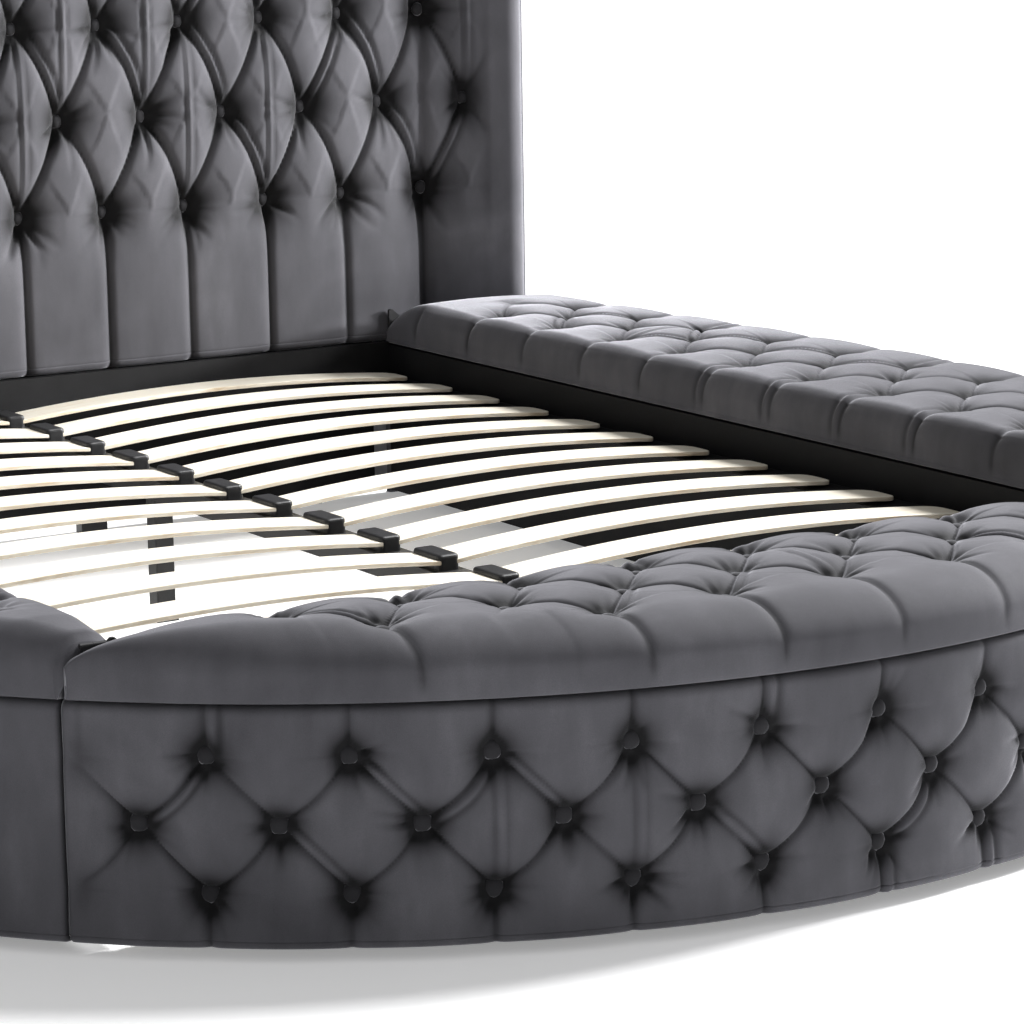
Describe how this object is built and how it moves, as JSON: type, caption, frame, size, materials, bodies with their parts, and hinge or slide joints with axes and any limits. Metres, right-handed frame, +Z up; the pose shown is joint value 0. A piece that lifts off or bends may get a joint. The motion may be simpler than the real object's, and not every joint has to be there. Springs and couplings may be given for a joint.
{
  "type": "round storage bed",
  "caption": "Round upholstered storage bed with a tufted headboard, bowed slats and hinged padded lids on its side and foot boxes.",
  "frame": {"origin": "on the floor under the middle of the whole bed", "axes": "+Y towards the headboard, +X to the right seen from the foot, +Z up"},
  "size_m": [2.376, 2.585, 1.24],
  "materials": {
    "velvet": "charcoal velvet",
    "backing": "plain backing cloth",
    "slat_wood": "pale lacquered plywood",
    "black_board": "black board",
    "board": "raw board",
    "black_metal": "black powder coat",
    "black_plastic": "moulded",
    "rubber": "soft",
    "steel": "black zinc"
  },
  "bodies": {
    "frame": {"headboard_core": "board", "headboard_back_cover": "backing", "headboard_pad": "velvet", "headboard_buttons": "velvet", "headboard_wing_bases": "velvet", "headboard_glides": "black_plastic", "head_board": "black_board", "head_board_blocks": "board", "right_inner_board": "black_board", "left_inner_board": "black_board", "right_outer_panel": "black_board", "left_outer_panel": "black_board", "right_head_end_board": "black_board", "left_head_end_board": "black_board", "right_storage_floor": "black_board", "left_storage_floor": "black_board", "foot_outer_panel": "black_board", "foot_inner_board": "black_board", "foot_storage_floor": "black_board", "foot_cover": "velvet", "right_cover": "velvet", "left_cover": "velvet", "foot_cover_buttons": "velvet", "right_cover_buttons": "velvet", "left_cover_buttons": "velvet", "right_slat_ledge": "black_board", "left_slat_ledge": "black_board", "centre_rail": "black_metal", "rail_hangers": "black_metal", "centre_legs": "black_metal", "leg_glides": "black_plastic", "right_slats": "slat_wood", "left_slats": "slat_wood", "centre_slat_holders": "black_plastic", "box_feet": "black_plastic", "lid_bumpers": "rubber", "corner_pivot_plates": "steel", "head_pivot_plates": "steel", "foot_hinge_pins": "steel"},
    "right_lid": {"right_lid_board": "black_board", "right_lid_pad": "velvet", "right_lid_buttons": "velvet", "right_lid_pivots": "steel"},
    "left_lid": {"left_lid_board": "black_board", "left_lid_pad": "velvet", "left_lid_buttons": "velvet", "left_lid_pivots": "steel"},
    "foot_lid": {"foot_lid_board": "black_board", "foot_lid_pad": "velvet", "foot_lid_buttons": "velvet", "foot_hinge_leaves": "steel"}
  },
  "joints": [
    {"name": "right_lid_hinge", "type": "hinge", "parent": "frame", "child": "right_lid", "pos_m": [0.791, 0.1, 0.352], "axis": [0, -1, 0], "range_deg": [0, 75]},
    {"name": "left_lid_hinge", "type": "hinge", "parent": "frame", "child": "left_lid", "pos_m": [-0.791, 0.1, 0.352], "axis": [0, 1, 0], "range_deg": [0, 75]},
    {"name": "foot_lid_hinge", "type": "hinge", "parent": "frame", "child": "foot_lid", "pos_m": [0, -0.922, 0.352], "axis": [-1, 0, 0], "range_deg": [0, 75]}
  ]
}
